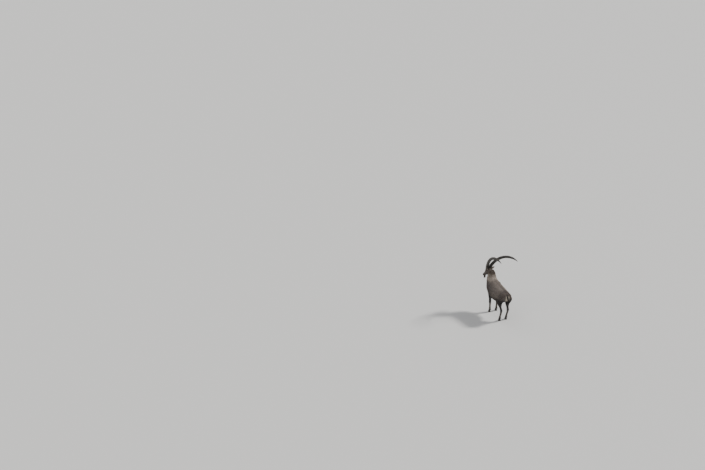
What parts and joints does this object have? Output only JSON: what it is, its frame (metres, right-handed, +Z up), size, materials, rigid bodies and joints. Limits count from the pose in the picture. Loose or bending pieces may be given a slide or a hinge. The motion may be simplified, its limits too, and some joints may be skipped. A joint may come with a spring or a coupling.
{
  "type": "alpine ibex model",
  "caption": "Life-size alpine ibex ram that stands with its head up and turned to its left, with long ridged horns that sweep back.",
  "frame": {"origin": "on the floor, under the middle of the bounding box", "axes": "+Z up, the body faces -Y, the left side of the animal is towards +X"},
  "size_m": [0.7142, 1.251, 1.5686],
  "materials": {
    "coat": "short dense hair, grey-brown, dull",
    "dark_coat": "short dark brown hair, dull",
    "horn": "ridged brown horn, satin",
    "hoof": "dark smooth horn, satin",
    "eye": "wet, glossy amber"
  },
  "bodies": {
    "root": {"torso": "coat", "neck": "coat", "tail": "dark_coat", "eye_left": "eye", "horn_left": "horn", "ear_left": "coat", "eye_right": "eye", "horn_right": "horn", "ear_right": "coat", "head": "coat", "beard": "dark_coat", "foreleg_left_upper": "coat", "foreleg_left_lower": "dark_coat", "hoof_fore_left_inner": "hoof", "hoof_fore_left_outer": "hoof", "dewclaw_fore_left_inner": "hoof", "dewclaw_fore_left_outer": "hoof", "foreleg_right_upper": "coat", "foreleg_right_lower": "dark_coat", "hoof_fore_right_inner": "hoof", "hoof_fore_right_outer": "hoof", "dewclaw_fore_right_inner": "hoof", "dewclaw_fore_right_outer": "hoof", "hindleg_left_upper": "coat", "hindleg_left_lower": "dark_coat", "hoof_hind_left_inner": "hoof", "hoof_hind_left_outer": "hoof", "dewclaw_hind_left_inner": "hoof", "dewclaw_hind_left_outer": "hoof", "hindleg_right_upper": "coat", "hindleg_right_lower": "dark_coat", "hoof_hind_right_inner": "hoof", "hoof_hind_right_outer": "hoof", "dewclaw_hind_right_inner": "hoof", "dewclaw_hind_right_outer": "hoof"}
  },
  "joints": []
}
